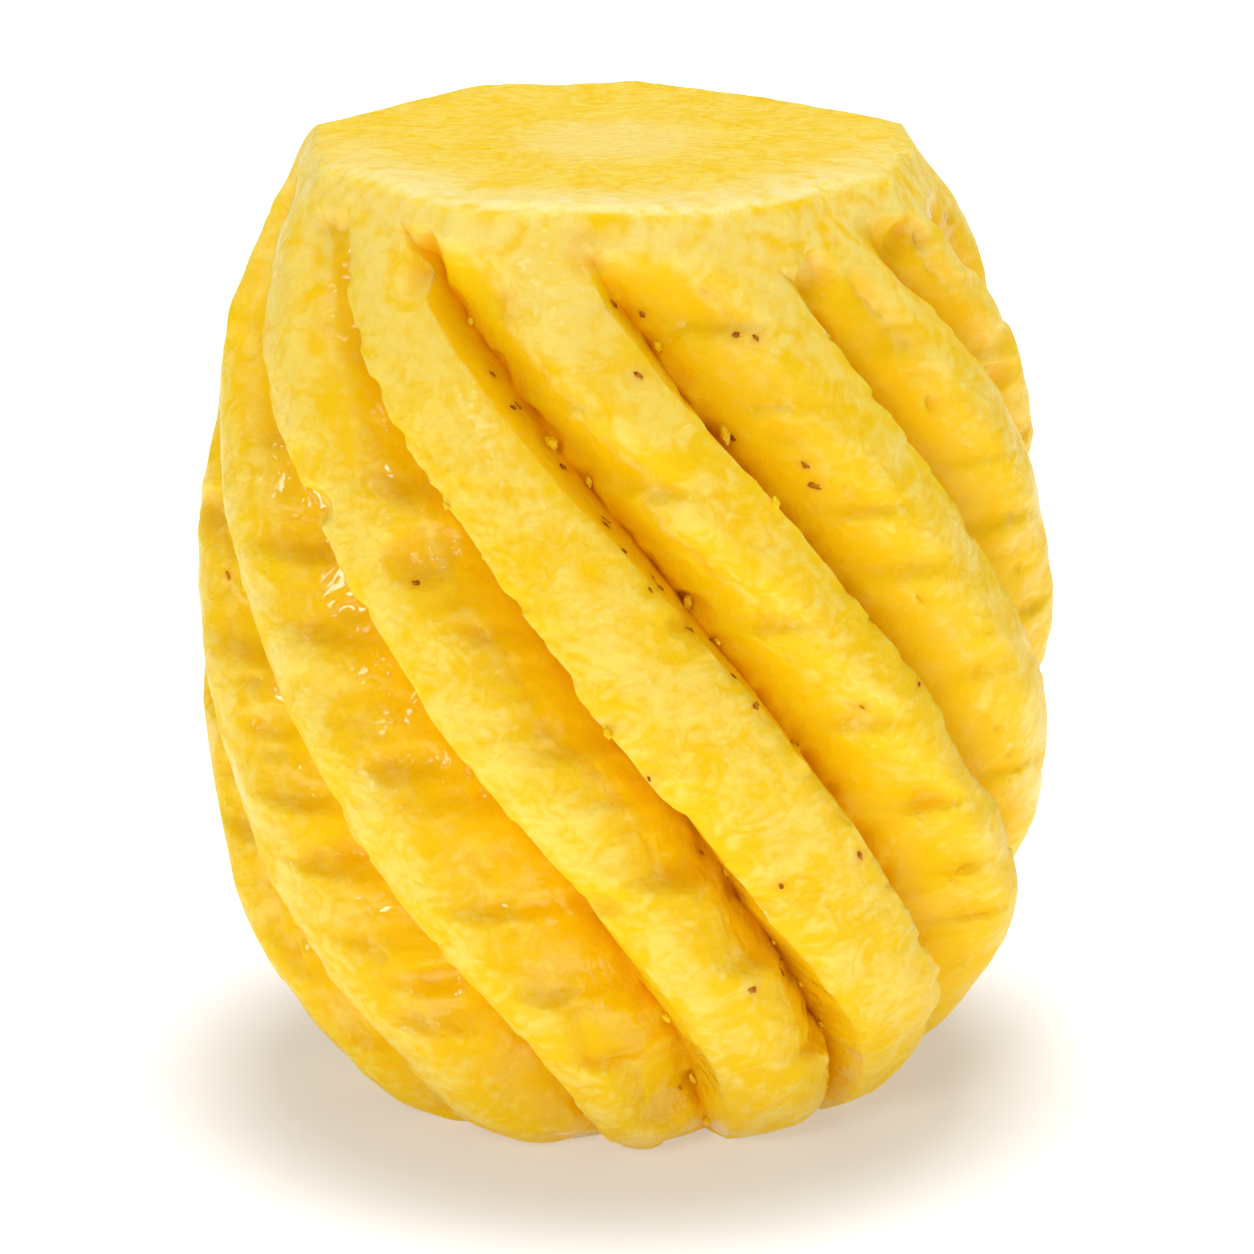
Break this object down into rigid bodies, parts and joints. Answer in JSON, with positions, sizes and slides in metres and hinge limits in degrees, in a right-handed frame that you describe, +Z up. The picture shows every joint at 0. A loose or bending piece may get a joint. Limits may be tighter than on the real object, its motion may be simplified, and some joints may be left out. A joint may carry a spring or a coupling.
{
  "type": "peeled pineapple",
  "caption": "Whole peeled pineapple, cut flat at top and base, with deep spiral V grooves where its eyes were cut out. Stands on its base.",
  "frame": {"origin": "middle of the fruit's width and depth, on the flat cut of its base", "axes": "+Z up along the fruit's core, towards the top cut; -Y is the side that faces the viewer in the picture"},
  "size_m": [0.1046, 0.1048, 0.1174],
  "materials": {
    "flesh": "moist golden fruit flesh, paler on the cut ridges and deeper yellow in the grooves"
  },
  "bodies": {
    "root": {"peeled_pineapple": "flesh"}
  },
  "joints": []
}
